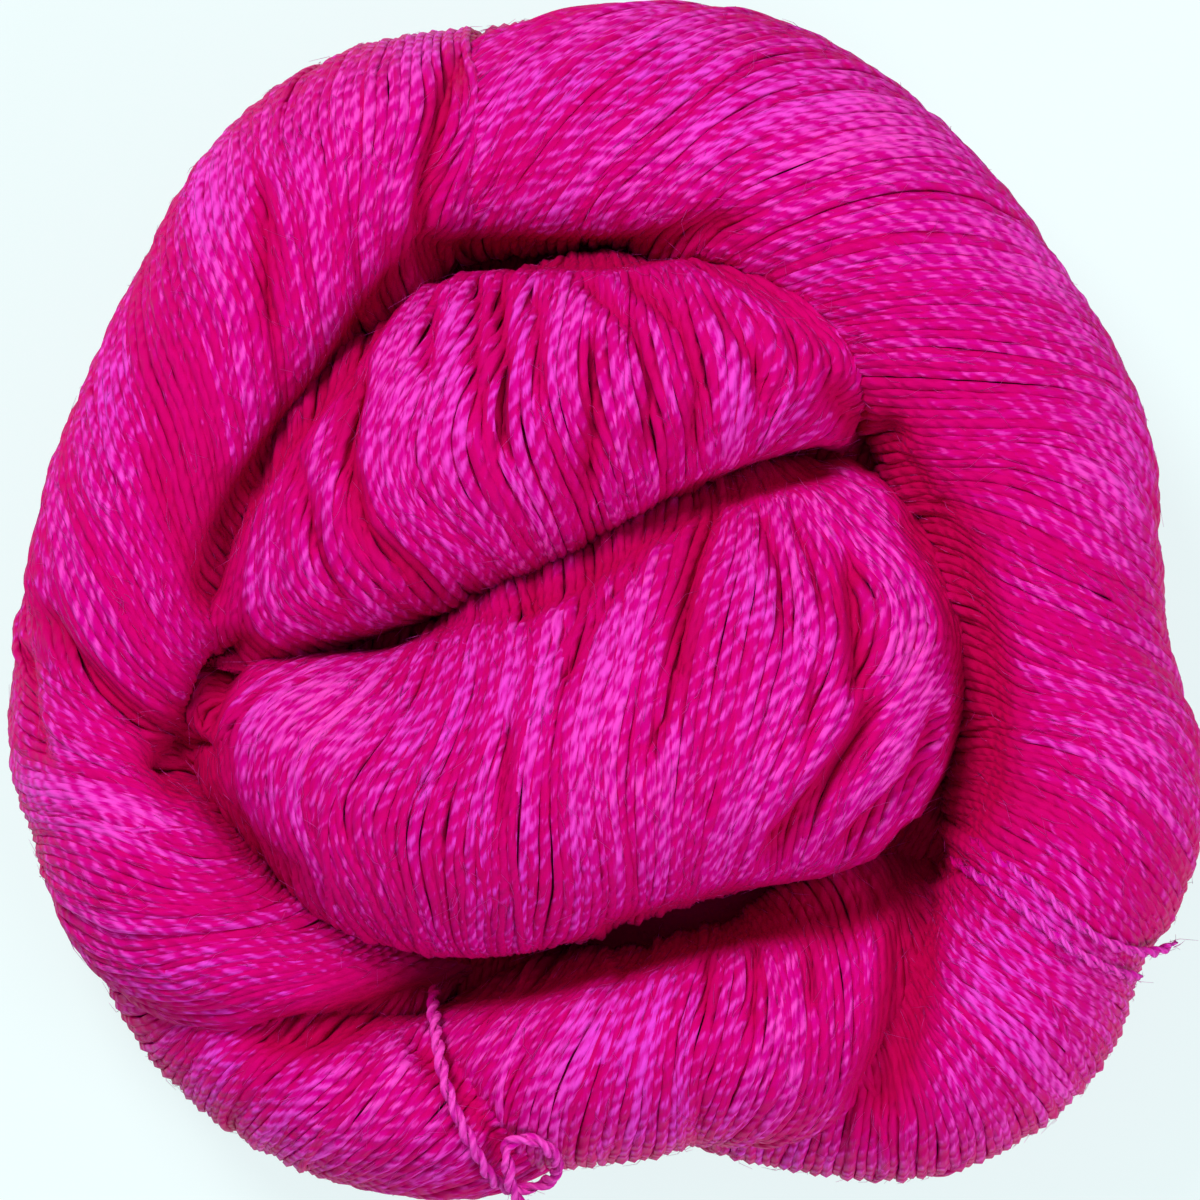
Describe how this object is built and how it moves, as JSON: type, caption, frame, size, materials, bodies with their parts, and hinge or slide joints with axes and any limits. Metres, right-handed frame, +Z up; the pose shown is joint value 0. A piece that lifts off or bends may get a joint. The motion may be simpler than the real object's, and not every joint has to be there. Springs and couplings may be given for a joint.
{
  "type": "skein of alpaca silk yarn",
  "caption": "Twisted hank of fine magenta alpaca silk yarn, coiled into a flat round rosette, with its tie and free yarn ends.",
  "frame": {"origin": "middle of the rosette's outline, on the surface that it rests on", "axes": "+Z up through the rosette, +Y towards the crease where the upper left bundle starts, +X towards the long right bundle"},
  "size_m": [0.1191, 0.1205, 0.0475],
  "materials": {
    "yarn": "magenta two-ply yarn with a soft silk sheen and a fine halo",
    "tie_yarn": "lighter pink-magenta yarn with a soft sheen"
  },
  "bodies": {
    "root": {"skein": "yarn", "tie": "tie_yarn", "yarn_end_long": "yarn", "yarn_end_short": "yarn"}
  },
  "joints": []
}
